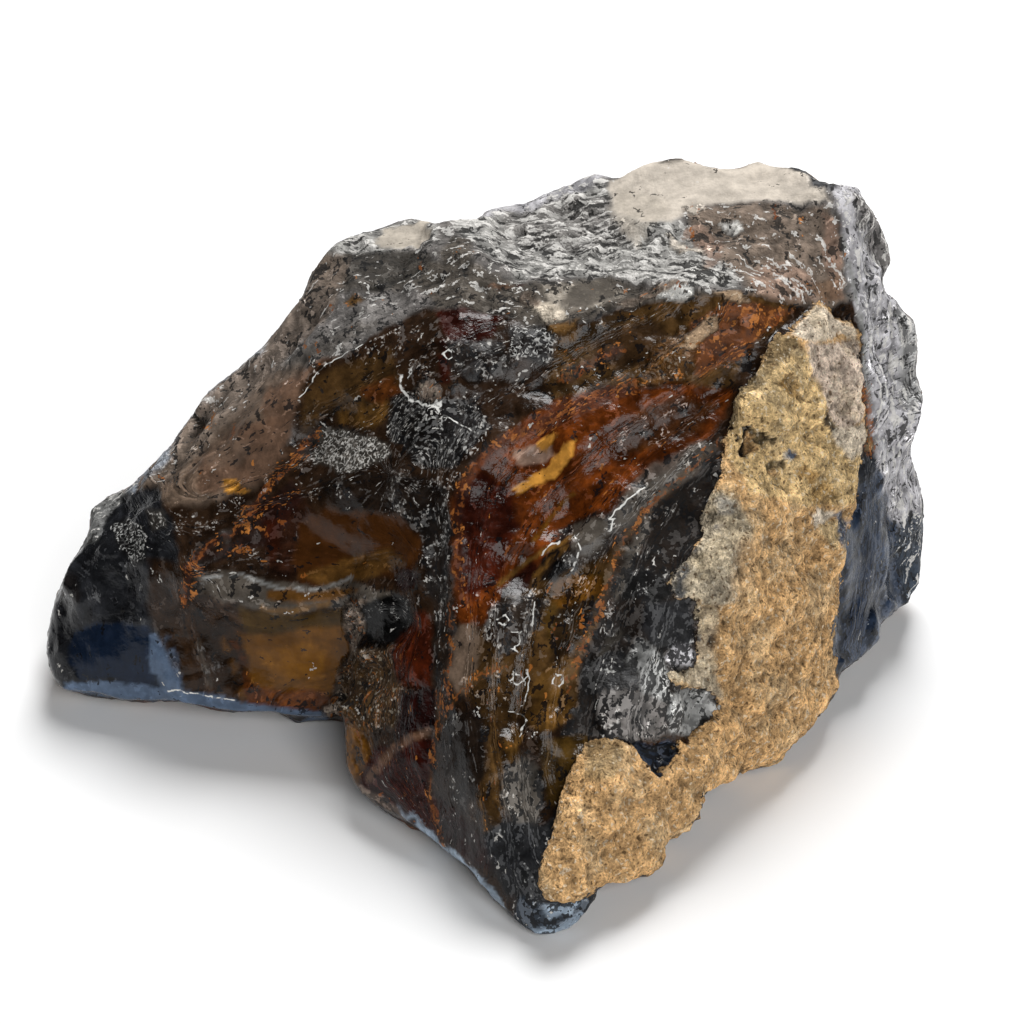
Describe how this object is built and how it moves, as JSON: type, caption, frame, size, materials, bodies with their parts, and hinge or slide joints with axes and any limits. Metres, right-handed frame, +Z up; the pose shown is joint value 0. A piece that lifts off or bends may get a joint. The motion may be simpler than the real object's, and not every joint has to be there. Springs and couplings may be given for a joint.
{
  "type": "rough pietersite specimen",
  "caption": "Rough broken lump of dark fibrous quartz with a sloping front, a low wing, a pointed toe and a raised rind of sandy rock, resting on a flat underside.",
  "frame": {"origin": "centre of the bounding box at the height of the flat resting face", "axes": "+Z up, +X to the stone's right along its longest side, -Y towards the pointed toe at its front"},
  "size_m": [0.1154, 0.0888, 0.0628],
  "materials": {
    "stone": "wet-looking dark fracture faces, matt weathered top"
  },
  "bodies": {
    "root": {"rough_pietersite": "stone"}
  },
  "joints": []
}
